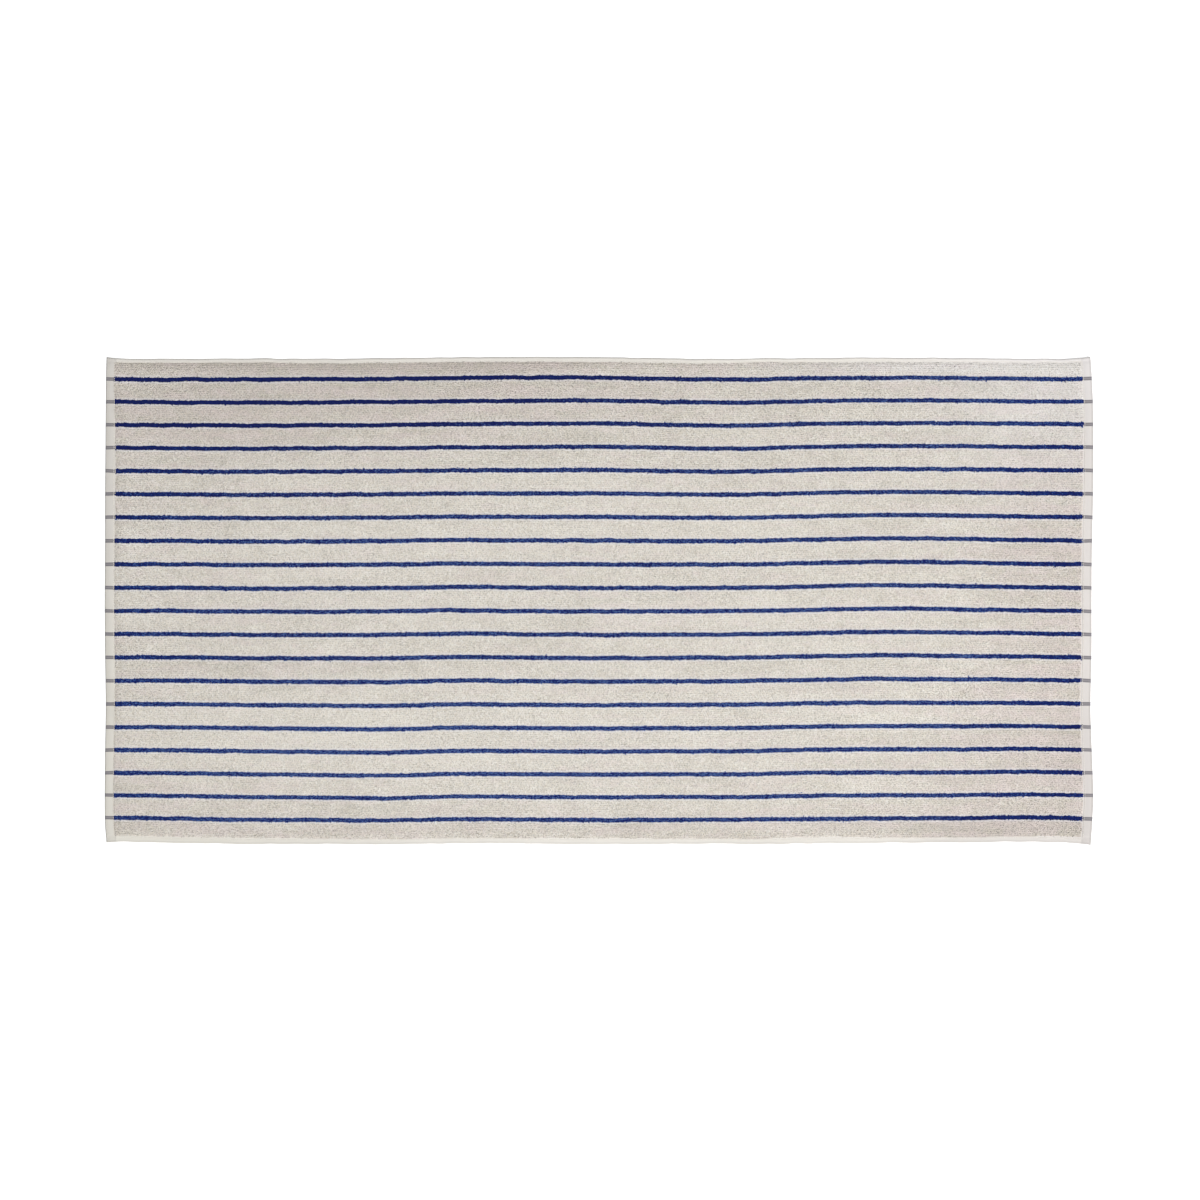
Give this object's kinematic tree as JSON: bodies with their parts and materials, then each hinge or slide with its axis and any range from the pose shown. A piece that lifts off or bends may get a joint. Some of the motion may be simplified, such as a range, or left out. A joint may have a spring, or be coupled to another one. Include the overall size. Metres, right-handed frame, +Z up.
{
  "type": "bath towel",
  "caption": "Bath towel of natural cotton terry with thin navy stripes along its length, plain woven end hems and narrow side hems, laid out flat.",
  "frame": {"origin": "middle of the area the towel covers, on the surface it lies on", "axes": "+X along the towel, parallel to its stripes; +Y across it; +Z up, out of the face that shows"},
  "size_m": [1.4034, 0.6934, 0.0064],
  "materials": {
    "cotton_terry": "unbleached cotton terry with loop pile on both faces, and thin stripes of navy loops",
    "cotton_hem": "plain woven cotton hem without pile, turned and lock-stitched"
  },
  "bodies": {
    "root": {"towel": "cotton_terry"}
  },
  "joints": []
}
